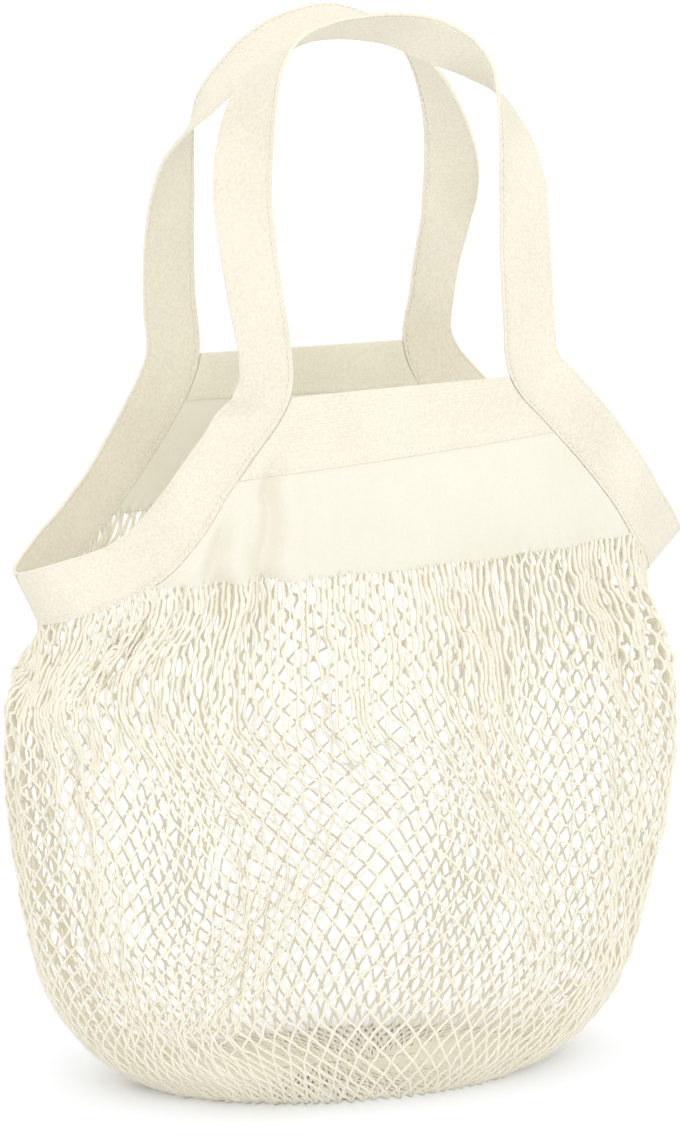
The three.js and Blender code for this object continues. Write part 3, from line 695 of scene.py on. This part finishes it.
def bandPiece(key):
    bandShare = bag["bandHeight"] / bag["clothHeight"]
    columns = np.linspace(0, 1, bandLook["columns"])
    inside = bandLook["inset"] + (1 - 2 * bandLook["inset"]) * columns
    fromEnd = smooth(np.minimum(columns, 1 - columns), 0, bandLook["endFade"])
    reach = bandLook["endReach"] + (bandLook["reach"] - bandLook["endReach"]) * fromEnd
    top, topOut = panelSurface(key, inside, np.zeros_like(columns))
    below, _ = panelSurface(key, inside, np.full_like(columns, bandLook["topStep"]))
    upward = unit(top - below)
    lines, heights = [], []
    legShares = np.linspace(bandShare, 0, bandLook["legRows"])

    def addLeg(direction, share):
        point, out = panelSurface(key, inside, np.full_like(columns, share))
        waver = sum(deep * np.sin(columns * turns + share * drop) for deep, turns, drop in bandLook["wavers"])
        loose = 1 + bandLook["loose"] * waver * smooth(share, 0, bandShare)
        lines.append(point + out * (direction * reach * loose)[:, None])
        heights.append(-share * bag["clothHeight"] * direction)

    for share in legShares:
        addLeg(1, share)
    for step in range(1, bandLook["turnSteps"]):
        angle = math.pi * step / bandLook["turnSteps"]
        lines.append(top + (topOut * math.cos(angle) + upward * math.sin(angle)) * reach[:, None])
        heights.append(step * bandLook["turnRise"])
    for share in legShares[::-1]:
        addLeg(-1, share)
    spots = np.array(lines)
    flat = flatGrid(columns[None, :] * np.linalg.norm(top[-1] - top[0]), np.array(heights)[:, None])
    name = key + "_band"
    piece = sheetPiece(name, spots, flat, bandLook)
    finishPiece(piece, materials["band"], [key + "_top_band"])
    print(name, "made")


for key in tapes:
    bandPiece(key)

# Net

net = {
    "columns": 116, "wallRows": 39, "baseRows": 8,
    "leg": 8.5,  # cord between two joints
    "radius": 0.64, "jointHalf": 0.65,
    "jointClosed": 1.3,  # longer by this at the cloth, where the net is drawn shut
    "closedFade": (0.1, 0.4),  # shares of the wall's rows over which it opens
    "plumpAtCloth": 0.5,  # cords wider by this share where they are bunched
    "jointApart": 0.6,  # share of the radius that two cords keep at a joint
    "strandApart": 1.55,  # where the cords hang side by side under the cloth
    "strandUneven": (0.6, 1.1), "jointUneven": (0.75, 1.2), "legWidths": (0.86, 1.04),
    "jointWidths": (1.0, 1.14), "legWaver": 0.25, "intoCloth": 1.2, "baseSeamHalf": 42.0,
    "baseSeamApart": 1.2, "ruffles": 33,
    "ruffleBend": (1.3, 5),  # how far the ruffles crowd to and fro, and how often around
    "fineRuffles": (0.5, 37, 0.8),  # share of the depth, number around and start
    "ruffleDeep": 3.2, "ruffleFade": 60.0, "ruffleFrom": 14.0, "wander": 0.35,
    "wanderShare": (0.75, 0.3),  # of it everywhere, and more for each millimetre of a pleat
    "pleatColumns": 3.7, "pleatShift": (0.9, 0.31), "samples": 1441,
    "thinnest": 0.3,  # least density of the columns in an open patch
    "settleRounds": 220, "settlePull": 0.06, "settlePush": 1.5,
    "slackShare": 0.75,  # legs shorter than this share of the cord push back
    "slackPush": 0.25, "sink": 0.03,
}

# The sack's level sections: z as a share of netHeight, width and depth as shares of the half sizes
sections = [
    (0, 0.58, 0.63), (0.02, 0.65, 0.7), (0.07, 0.76, 0.81), (0.13, 0.83, 0.88), (0.2, 0.885, 0.935),
    (0.31, 0.93, 0.975), (0.46, 0.965, 1), (0.6, 0.985, 0.99), (0.74, 0.975, 0.94), (0.86, 0.955, 0.85),
    (1, 0.92, 0.74),
]

# The sack's main folds: turn in degrees, wide, low and high as shares of the height, and deep inwards
folds = [
    (243, 17, 0.16, 0.95, 0.1), (222, 12, 0.1, 0.62, -0.035), (268, 12, 0.25, 1, -0.05),
    (292, 12, 0.3, 1, 0.075), (318, 12, 0.2, 0.95, 0.055), (344, 15, 0.3, 1, -0.05),
    (195, 13, 0.35, 0.95, 0.06), (60, 15, 0.25, 0.95, 0.075), (125, 15, 0.2, 0.95, 0.08),
    (92, 13, 0.2, 0.95, -0.035),
]


# Lower edge of the cloth on one side, left tip to right tip
def rimLine(key):
    tape = tapes[key]
    steps = 40
    leftRows = np.linspace(0, tape.left["foot"], steps)[:-1]
    rightRows = tape.spans - np.linspace(0, tape.right["foot"], steps)[:-1]
    points, outs = [], []
    for rows in (leftRows, rightRows[::-1]):
        centre, across, normal = tape.at(rows)
        points.append(centre - across * bag["tapeWidth"] / 2)
        outs.append(normal)
    u = np.linspace(0, 1, 2 * steps)
    foot, footOut = panelSurface(key, u, np.ones_like(u))
    line = np.vstack([points[0], foot, points[1]])
    out = turnOut(np.vstack([outs[0], footOut, outs[1]]), tape.side)
    length = distances(line)
    return line, out, length / length[-1]


rims = {key: rimLine(key) for key in tapes}


# Rim point at shares of the way round: 0 left tip, by the front to 0.5, by the back to 1
def rimAt(around):
    wrapped = np.mod(around, 1)
    points = np.zeros(wrapped.shape + (3,))
    for key, chosen, share in (
        ("front", wrapped < 0.5, wrapped * 2),
        ("back", wrapped >= 0.5, 2 - wrapped * 2),
    ):
        line, _, length = rims[key]
        for axis in range(3):
            points[..., axis] = np.where(chosen, np.interp(share, length, line[:, axis]), points[..., axis])
    return points


# A point of the net's outer face; height is a share of the rim's, spread closes the base to its seam
def sackPoint(around, height, spread):
    top = rimAt(around)
    z = height * top[..., 2]
    share = z / bag["netHeight"]
    table = np.array(sections)
    width = bag["netHalfWidth"] * np.interp(share, table[:, 0], table[:, 1])
    depth = bag["netHalfDepth"] * np.interp(share, table[:, 0], table[:, 2])
    angle = math.pi * (1 + 2 * np.mod(around, 1))
    turn = np.degrees(angle) % 360
    inward = np.zeros_like(z)
    for middle, wide, low, high, deep in folds:
        away = np.abs(turn - middle) % 360
        away = np.minimum(away, 360 - away)
        sideways = np.cos(np.clip(away / wide, 0, 2) * math.pi / 4) ** 2
        reach = np.sin(math.pi * np.clip((share - low) / (high - low), 0, 1))
        inward += deep * bag["netHalfDepth"] * sideways * reach
    below = top[..., 2] - z
    bend, bends = net["ruffleBend"]
    fineDeep, fineTurns, fineStart = net["fineRuffles"]
    waves = np.sin(angle * net["ruffles"] + bend * np.sin(angle * bends))
    waves = waves + fineDeep * np.sin(angle * fineTurns + fineStart)
    fade = np.exp(-below / net["ruffleFade"]) * smooth(below, 0, net["ruffleFrom"])
    inward += net["ruffleDeep"] * waves * fade
    seamX = net["baseSeamHalf"] * np.cos(angle)
    seamY = net["baseSeamApart"] * np.sin(angle)
    x = (width - inward) * np.cos(angle) * (1 - spread) + seamX * spread - bag["netLean"]
    y = (depth - inward) * np.sin(angle) * (1 - spread) + seamY * spread
    away = smooth(below, 0, bag["rimBlend"])
    x = top[..., 0] + (x - top[..., 0]) * away
    y = top[..., 1] + (y - top[..., 1]) * away
    return np.stack([x, y, z], axis=-1)


# Where the columns of the net crowd together or stand open: a line of (around, height) from the cloth down,
# how wide it is as a share of the way round, the crowd (open under 0), and how deep its pleats are
gathers = [
    ([(-0.03, 1), (0, 0.88), (0.057, 0.73), (0.08, 0.5), (0.085, 0.25)], 0.022, 1.3, 3),
    ([(0.085, 1.05), (0.1, 0.74)], 0.035, 2.4, 4.5),
    ([(0.152, 1), (0.165, 0.73), (0.163, 0.5)], 0.01, 1.6, 3),
    ([(0.225, 0.85), (0.212, 0.695), (0.188, 0.535), (0.16, 0.375), (0.125, 0.2)], 0.032, 1.15, 3),
    ([(0.235, 1.05), (0.235, 0.6)], 0.06, 0.8, 2),
    ([(0.297, 0.95), (0.302, 0.625), (0.33, 0.3)], 0.02, 1.5, 3.5),
    ([(0.392, 1), (0.397, 0.55), (0.397, 0.25)], 0.03, 1, 3),
    ([(0.235, 0.62), (0.235, 0.1)], 0.045, -0.4, 0),
    ([(0.335, 0.85), (0.35, 0.35)], 0.018, -0.4, 0),
    ([(0.188, 0.8), (0.18, 0.6)], 0.014, -0.3, 0),
    ([(0.142, 0.8), (0.145, 0.6)], 0.014, -0.3, 0),
    ([(0.353, 0.4), (0.353, 0.1)], 0.03, -0.3, 0),
    ([(0.06, 0.5), (0.07, 0.1)], 0.03, -0.4, 0),
    ([(0.028, 0.68), (0.03, 0.3)], 0.024, -0.45, 0),
    ([(0.112, 0.66), (0.112, 0.52)], 0.018, -0.6, 0),
    ([(0.62, 0.95), (0.64, 0.2)], 0.03, 1.2, 2.5),
    ([(0.72, 0.9), (0.7, 0.3)], 0.03, -0.35, 0),
    ([(0.77, 0.95), (0.8, 0.3)], 0.03, 1.2, 2.5),
    ([(0.93, 0.9), (0.9, 0.2)], 0.03, 1, 2.5),
    ([(0.86, 0.8), (0.86, 0.3)], 0.03, -0.35, 0),
]

# Where its rows hang in a swag: the line of the lowest points, reach to the left and right, and drop
swags = [
    ([(0.2, 0.85), (0.175, 0.6), (0.155, 0.4), (0.14, 0.24)], 0.1, 0.08, 15),
    ([(0.3, 0.9), (0.325, 0.3)], 0.04, 0.06, 16),
    ([(0.78, 0.9), (0.8, 0.3)], 0.06, 0.06, 18),
    ([(0.63, 0.9), (0.63, 0.3)], 0.06, 0.06, 14),
]

# Shares of the height by which a gather or swag fades out below and above its line
lineFade = {"footOut": 0.22, "footIn": 0.1, "headIn": 0.05, "headOut": 0.15}


# Where a gather's or swag's line is at a height, and how much of it is left there
def lineAt(line, height):
    line = np.array(line)[::-1]
    middle = np.interp(height, line[:, 1], line[:, 0])
    low, high = line[0, 1], line[-1, 1]
    reach = smooth(height, low - lineFade["footOut"], low + lineFade["footIn"])
    reach = reach * (1 - smooth(height, high - lineFade["headIn"], high + lineFade["headOut"]))
    return middle, reach


# Signed way round from a place, as a share
def awayFrom(around, middle):
    return (around - middle + 0.5) % 1 - 0.5


# Where the columns lie in each row, drawn into the gathers and away from the open patches
def crowdedColumns(places, heights):
    samples = np.linspace(0, 1, net["samples"])
    half = len(samples) // 2
    columns = np.zeros((len(heights), len(places[0])))
    pleats = np.zeros_like(columns)
    for row, height in enumerate(heights):
        density = np.ones_like(samples)
        pleat = np.zeros_like(samples)
        for line, wide, crowd, deep in gathers:
            middle, reach = lineAt(line, height)
            near = hump(awayFrom(samples, middle), 0, wide) * reach
            density += crowd * near
            pleat += deep * near
        density = np.maximum(density, net["thinnest"])
        total = np.concatenate([[0], np.cumsum((density[1:] + density[:-1]) / 2)])
        front = total[: half + 1] / total[half] / 2
        behind = 0.5 + (total[half:] - total[half]) / (total[-1] - total[half]) / 2
        share = np.concatenate([front, behind[1:]])
        columns[row] = np.interp(np.mod(places[row], 1), share, samples) + np.floor(places[row])
        pleats[row] = np.interp(np.mod(columns[row], 1), samples, pleat)
    return columns, pleats


# along runs from 0 at the cloth to 1 at the base's edge and 2 at the seam under the base
def netSurface(around, along):
    return sackPoint(around, np.clip(1 - along, 0, 1), np.clip(along - 1, 0, 1))


# Joints of the net, slid over the sack until no leg is longer than its cord
def settledNet():
    columns, wall, base = net["columns"], net["wallRows"], net["baseRows"]
    rows = wall + base
    row = np.arange(rows + 1)[:, None] * np.ones((1, columns))
    places = (np.arange(columns)[None, :] + (row % 2) / 2) / columns
    along = np.where(row <= wall, row / wall, 1 + (row - wall) / base)
    around, pleats = crowdedColumns(places, np.clip(1 - along[:, 0], 0, 1))
    drop = np.zeros_like(along)
    for line, left, right, deep in swags:
        middle, reach = lineAt(line, 1 - along)
        away = awayFrom(around, middle)
        wing = np.where(away < 0, -away / left, away / right)
        drop += deep / bag["netHeight"] * np.cos(np.clip(wing, 0, 1) * math.pi / 2) ** 2 * reach
    along = along + drop * smooth(along, 0, 0.15) * (1 - smooth(along, 0.8, 1.0))
    wish = netSurface(around, along)
    leg = net["leg"]
    step = 0.001
    free = np.ones_like(along)
    free[[0, -1]] = 0
    for turn in range(net["settleRounds"]):
        points = netSurface(around, along)
        acrossWay = (netSurface(around + step, along) - points) / step
        downWay = (netSurface(around, along + step) - points) / step
        push = np.zeros_like(points)
        weight = np.zeros(along.shape)
        for odd in (0, 1):
            upper = np.arange(odd, rows, 2)
            for shift in (0, 1 if odd else -1):
                gap = np.roll(points[upper + 1], -shift, axis=1) - points[upper]
                length = np.linalg.norm(gap, axis=-1, keepdims=True)
                slack = net["slackPush"] * np.minimum(length - net["slackShare"] * leg, 0)
                wrong = np.where(length > leg, length - leg, slack)
                move = gap / np.maximum(length, 1e-6) * wrong * 0.5  # half for each of the two joints
                push[upper] += move
                push[upper + 1] -= np.roll(move, shift, axis=1)
                weight[upper] += 1
                weight[upper + 1] += 1
        push = push / weight[..., None] * net["settlePush"]
        push[..., 2] -= net["sink"] * (along < 1)
        push += (wish - points) * net["settlePull"] * (1 - turn / net["settleRounds"])
        around = around + np.sum(push * acrossWay, axis=-1) / (np.sum(acrossWay**2, axis=-1) + 1) * free
        along = along + np.sum(push * downWay, axis=-1) / (np.sum(downWay**2, axis=-1) + 1) * free
        along = np.clip(along, 0, 2)
    points = netSurface(around, along)
    downWay = netSurface(around, along + step) - points
    acrossWay = netSurface(around + step, along) - points
    outward = unit(np.cross(downWay, acrossWay))
    shift, shifts = net["pleatShift"]
    phase = np.arange(columns)[None, :] * 2 * math.pi / net["pleatColumns"] + shift * np.sin(row * shifts)
    depth = -pleats * (0.5 + 0.5 * np.sin(phase)) * smooth(along, 0, 0.1) * (1 - smooth(along, 0.85, 1.0))
    least, more = net["wanderShare"]
    loose = (least + more * pleats) * free
    wander = chance.normal(0, net["wander"], points.shape) * loose[..., None]
    points = points + outward * depth[..., None] + wander
    points[..., 2] = np.maximum(points[..., 2], net["radius"])
    return points


# Middle of the two joints that a joint's neighbours in the next row stand at
def besideRows(grid, odd):
    return (grid + np.roll(grid, -1 if odd else 1, axis=0)) / 2


# Joint places with the directions down and sideways along the net
def netJoints():
    points = settledNet()
    rows = len(points)
    down = np.zeros_like(points)
    for row in range(rows):
        below = besideRows(points[row + 1], row % 2) if row < rows - 1 else points[row]
        above = besideRows(points[row - 1], row % 2) if row > 0 else points[row]
        down[row] = unit(below - above)
    right = unit(np.roll(points, -1, axis=1) - np.roll(points, 1, axis=1))
    return points, down, squareTo(right, down)


# One zigzag cord; leaning 1 steps to the right below even rows, -1 to the left
def netLine(joints, column, leaning):
    points, down, right = joints
    rows, columns = points.shape[:2]
    apart = net["jointApart"] * net["radius"]
    track, widths = [], []
    for row in range(rows):
        index = column if row % 2 == 0 or leaning == 1 else (column - 1) % columns
        side = leaning if row % 2 == 0 else -leaning
        closed = 1 - smooth(row / net["wallRows"], *net["closedFade"])
        aside = apart + (net["strandApart"] - apart) * closed * chance.uniform(*net["strandUneven"])
        centre = points[row, index] + right[row, index] * side * aside
        reach = net["jointHalf"] + net["jointClosed"] * closed
        reach = reach * chance.uniform(*net["jointUneven"])
        plump = net["plumpAtCloth"] * closed
        if row == 0:
            track.append(centre - down[row, index] * net["intoCloth"])
            widths.append(1.0)
        else:
            before = centre - down[row, index] * reach
            track.append((track[-1] + before) / 2 + chance.normal(0, net["legWaver"], 3))
            track.append(before)
            widths.append(chance.uniform(*net["legWidths"]) + plump)
            widths.append(chance.uniform(*net["jointWidths"]) + plump)
        if row < rows - 1:
            track.append(centre + down[row, index] * reach)
            widths.append(chance.uniform(*net["jointWidths"]) + plump)
    track = np.array(track)
    track[:, 2] = np.maximum(track[:, 2], net["radius"])
    return track, widths


netParts = netJoints()
quarter = net["columns"] // 4
for index, name in enumerate(("net_front_left", "net_front_right", "net_back_right", "net_back_left")):
    lines = []
    for column in range(index * quarter, (index + 1) * quarter):
        for leaning in (1, -1):
            lines.append(netLine(netParts, column, leaning))
    piece = cordPiece(name, lines, net["radius"], 1)
    finishPiece(piece, materials["cord"], ["net_body"])
    print(name, "made,", len(piece.data.polygons), "faces")

# Stitching

# A thread: shares of its length, how high it lies on the cloth there, and its width
threadForm = {
    "along": np.array([0, 0.2, 0.5, 0.8, 1.0]),
    "rise": np.array([-0.35, 0.12, 0.2, 0.12, -0.35]),
    "width": np.array([0.7, 1.0, 1.05, 1.0, 0.7]),
}

# The threads over the cloth's lower edge, with lengths in millimetres at five places along each
rimStitchLook = {
    "pitch": 2.3, "rimLength": 370.0, "from": 0.006, "to": 0.994, "edge": 0.002, "lean": 0.55,
    "leanShares": np.array([-1, -0.4, 0, 0.4, 1]),
    "outward": np.array([0.55, 0.95, 0.1, -0.95, -0.55]),
    "flatten": [1, 1, 0.3],
    "upward": np.array([2.9, 0.6, -0.5, 0.6, 2.9]),
    "width": [0.8, 1.0, 1.0, 1.0, 0.8],
}


# Short threads along a line, each dipping into the cloth at its ends
def stitchLine(points, outs, thin):
    along = distances(points)
    endGap = 1.0
    lines = []
    for start in np.arange(endGap, along[-1] - tapeLook["stitchLong"] - endGap, tapeLook["stitchPitch"]):
        at = start + threadForm["along"] * tapeLook["stitchLong"]
        rise = threadForm["rise"][:, None]
        track = valuesAt(at, along, points) + valuesAt(at, along, outs) * rise * thin
        lines.append((track, threadForm["width"] * thin))
    return lines


# The same row of stitches on both faces of a sheet, each this high above its middle
def bothFaces(points, outs, high, thin=1.0):
    return [line for face in (1, -1) for line in stitchLine(points + outs * (face * high), outs * face, thin)]


# The row of stitches along the sewn edge of a tape
def tapeStitches(key):
    tape = tapes[key]
    endRow = 0.25
    rows = np.linspace(endRow, tape.spans - endRow, tape.spans * 8)
    centre, across, normal = tape.at(rows)
    place = -bag["tapeWidth"] / 2 + tapeLook["stitchIn"]
    return bothFaces(centre + across * place, normal, tapeLook["thickness"] * tapeLook["stitchSink"])


# The stitches over the cloth's lower edge that hold the net, leaning to and fro
def rimStitches(key):
    line, out, length = rims[key]
    look = rimStitchLook
    whole = look["pitch"] / look["rimLength"]
    lines = []
    for index, start in enumerate(np.arange(look["from"], look["to"], whole)):
        lean = (look["lean"] if index % 2 else -look["lean"]) * whole
        at = np.clip(start + lean * look["leanShares"], look["edge"], 1 - look["edge"])
        away = valuesAt(at, length, out)
        track = valuesAt(at, length, line) + away * look["outward"][:, None] * look["flatten"]
        track[:, 2] += look["upward"]
        lines.append((track, look["width"]))
    return lines


# The row of stitches that holds the band down, a little above its lower edge
def bandStitches(key):
    share = (bag["bandHeight"] - bandLook["stitchUp"]) / bag["clothHeight"]
    inset = 0.015
    u = np.linspace(inset, 1 - inset, 120)
    point, out = panelSurface(key, u, np.full_like(u, share))
    return bothFaces(point, out, bandLook["reach"] + bandLook["thickness"] / 2, bandLook["stitchThin"])


for key in tapes:
    lines = tapeStitches(key) + bandStitches(key) + rimStitches(key)
    piece = cordPiece(key + "_stitches", lines, tapeLook["threadRadius"], 0)
    finishPiece(piece, materials["thread"], [])
    print(piece.name, "made,", len(lines), "stitches")

# Stage: white floor and soft light

stageLook = {
    "floorSize": 12.0,
    "floorColour": (0.94, 0.955, 0.99),
    "worldStrength": 1.15,
    "sunStrength": 0.5,
    "sunWide": 40.0,  # degrees, as broad as a big softbox
    "sunFrom": (-0.2, -0.95, 0.5),
}


def makeStage(look):
    floor = bmesh.new()
    bmesh.ops.create_grid(floor, x_segments=1, y_segments=1, size=look["floorSize"])
    mesh = bpy.data.meshes.new("floor")
    floor.to_mesh(mesh)
    floor.free()
    ground = addObject("floor", mesh)
    paint = bpy.data.materials.new("white_floor")
    paint.use_nodes = True
    floorFinish = {"Base Color": look["floorColour"] + (1,), "Roughness": 0.9}
    setInputs(paint.node_tree.nodes["Principled BSDF"], floorFinish)
    mesh.materials.append(paint)
    world = bpy.data.worlds.new("studio")
    scene.world = world
    world.use_nodes = True
    sky = {"Color": (1, 1, 1, 1), "Strength": look["worldStrength"]}
    setInputs(world.node_tree.nodes["Background"], sky)
    sun = bpy.data.lights.new("soft_sun", "SUN")
    sun.energy = look["sunStrength"]
    sun.angle = math.radians(look["sunWide"])
    sunObject = addObject("soft_sun", sun)
    sunObject.rotation_mode = "QUATERNION"
    sunObject.rotation_quaternion = (-Vector(look["sunFrom"])).to_track_quat("-Z", "Y")
    scene.view_settings.view_transform = "Standard"


makeStage(stageLook)
print("stage made")
